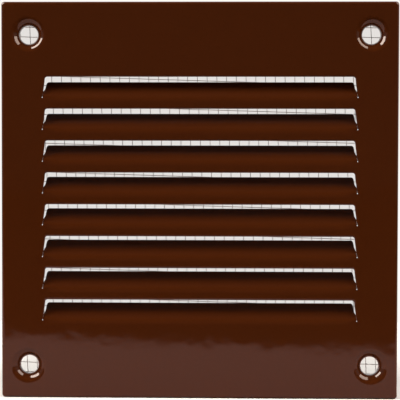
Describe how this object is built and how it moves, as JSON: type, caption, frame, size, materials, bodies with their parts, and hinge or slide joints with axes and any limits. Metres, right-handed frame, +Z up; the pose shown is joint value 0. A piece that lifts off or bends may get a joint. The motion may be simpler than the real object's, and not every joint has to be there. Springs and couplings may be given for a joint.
{
  "type": "louvred vent grille",
  "caption": "Square vent grille of folded sheet with louvres, dimpled screw holes and an insect mesh held behind them, to cover an air duct in a wall.",
  "frame": {"origin": "middle of the wall plane, which is the back of the lips that fold in behind the rim", "axes": "+Z up, +Y into the wall, +X to the right as seen from the front; the visible face looks along -Y"},
  "size_m": [0.1, 0.005, 0.1],
  "materials": {
    "powder_coat": "glossy dark brown powder coat",
    "mesh_wire": "dull bright galvanised wire"
  },
  "bodies": {
    "root": {"face_plate": "powder_coat", "mesh_warp_wires": "mesh_wire", "mesh_weft_wires": "mesh_wire"}
  },
  "joints": []
}
